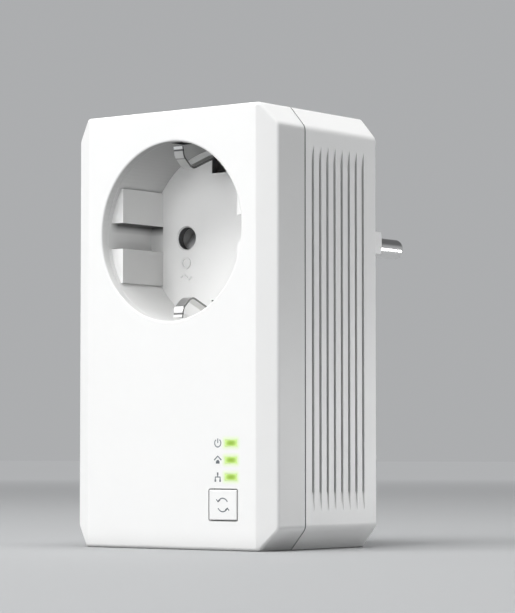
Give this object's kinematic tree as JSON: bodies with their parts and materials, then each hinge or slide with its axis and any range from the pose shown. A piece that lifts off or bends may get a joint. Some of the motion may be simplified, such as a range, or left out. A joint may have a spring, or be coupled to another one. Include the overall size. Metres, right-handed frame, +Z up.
{
  "type": "powerline adapter",
  "caption": "White wall-plug powerline network adapter with a round earthed pass-through socket, status lights, pairing button and a network port in its base.",
  "frame": {"origin": "on the axis shared by the wall plug and the front socket, at the flat back face that lies on the wall", "axes": "+Y into the wall along the plug's pins, +Z up along the housing, +X to the right of someone who faces the front"},
  "size_m": [0.057, 0.0757, 0.0975],
  "materials": {
    "white_plastic": "fine matt moulded ABS",
    "shutter_plastic": "smooth moulded",
    "cream_plastic": "moulded polyamide",
    "nickel_plate": "bright nickel plated",
    "contact_brass": "stamped brass",
    "copper": "enamelled wire",
    "gold_wire": "gold flashed",
    "zinc_steel": "zinc plated",
    "spring_steel": "drawn wire",
    "can_steel": "tinned sheet",
    "sink_aluminium": "extruded",
    "green_board": "solder mask over glass epoxy",
    "tan_board": "paper epoxy",
    "ferrite": "sintered ferrite",
    "black_package": "moulded epoxy",
    "blue_coating": "dipped epoxy",
    "yellow_case": "moulded case",
    "yellow_tape": "polyester tape",
    "can_sleeve": "shrunk sleeve over an aluminium can",
    "fuse_glass": "clear tube with plated caps",
    "clear_film": "translucent film",
    "jack_plastic": "moulded",
    "guide_plastic": "clear acrylic lit green",
    "led_case": "lit green",
    "switch_grey": "moulded",
    "grey_label": "blank film"
  },
  "bodies": {
    "housing": {"front_cover": "white_plastic", "rear_housing": "white_plastic", "housing_screws": "zinc_steel", "blank_label": "grey_label", "socket_insert": "white_plastic", "shutter_springs": "spring_steel", "contact_carrier": "cream_plastic", "contact_sleeve_left": "contact_brass", "contact_sleeve_right": "contact_brass", "earth_bridge": "nickel_plate", "earth_link": "contact_brass", "plug_body": "white_plastic", "plug_pin_left": "nickel_plate", "plug_pin_right": "nickel_plate", "plug_strip_left": "contact_brass", "plug_strip_right": "contact_brass", "plug_earth_strap": "nickel_plate", "earth_pin_sleeve": "nickel_plate", "main_board": "green_board", "power_board": "tan_board", "board_screws": "zinc_steel", "fuse": "fuse_glass", "varistor": "blue_coating", "mains_capacitor": "yellow_case", "choke_core": "ferrite", "choke_windings": "copper", "bridge_rectifier": "black_package", "transformer_core": "ferrite", "transformer_winding": "yellow_tape", "bulk_capacitors": "can_sleeve", "signal_coupler": "black_package", "powerline_chip": "black_package", "heat_sink": "sink_aluminium", "memory_chip": "black_package", "ethernet_chip": "black_package", "crystal": "can_steel", "network_magnetics": "black_package", "header_block": "black_package", "header_pins": "contact_brass", "insulating_sheet": "clear_film", "network_jack_body": "jack_plastic", "network_jack_shield": "can_steel", "network_jack_contacts": "gold_wire", "light_guide": "guide_plastic", "status_leds": "led_case", "switch_body": "black_package"},
    "shutter": {"shutter": "shutter_plastic"},
    "top_clip": {"earth_clip_top": "nickel_plate"},
    "bottom_clip": {"earth_clip_bottom": "nickel_plate"},
    "button": {"pair_button": "white_plastic"},
    "plunger": {"switch_plunger": "switch_grey"}
  },
  "joints": [
    {"name": "button_press", "type": "slide", "parent": "housing", "child": "button", "axis": [0, 1, 0], "range_m": [0, 0.0005], "stiffness_N_per_m": 40, "springref_m": -0.001},
    {"name": "plunger_travel", "type": "slide", "parent": "housing", "child": "plunger", "axis": [0, 1, 0], "range_m": [0, 0.0005], "stiffness_N_per_m": 4, "springref_m": -0.001},
    {"name": "shutter_slide", "type": "slide", "parent": "housing", "child": "shutter", "axis": [0, 0, -1], "range_m": [0, 0.0064], "stiffness_N_per_m": 40, "springref_m": -0.005, "deforming": ["shutter_springs"]},
    {"name": "top_clip_flex", "type": "hinge", "parent": "housing", "child": "top_clip", "pos_m": [0, -0.0196, 0.0189], "axis": [-1, 0, 0], "range_deg": [0, 6], "stiffness_Nm_per_rad": 0.002, "springref_deg": -11.46},
    {"name": "bottom_clip_flex", "type": "hinge", "parent": "housing", "child": "bottom_clip", "pos_m": [0, -0.0196, -0.0189], "axis": [1, 0, 0], "range_deg": [0, 6], "stiffness_Nm_per_rad": 0.002, "springref_deg": -11.46}
  ],
  "couplings": [
    {"joint": "plunger_travel", "follows": "button_press", "ratio": 1}
  ]
}
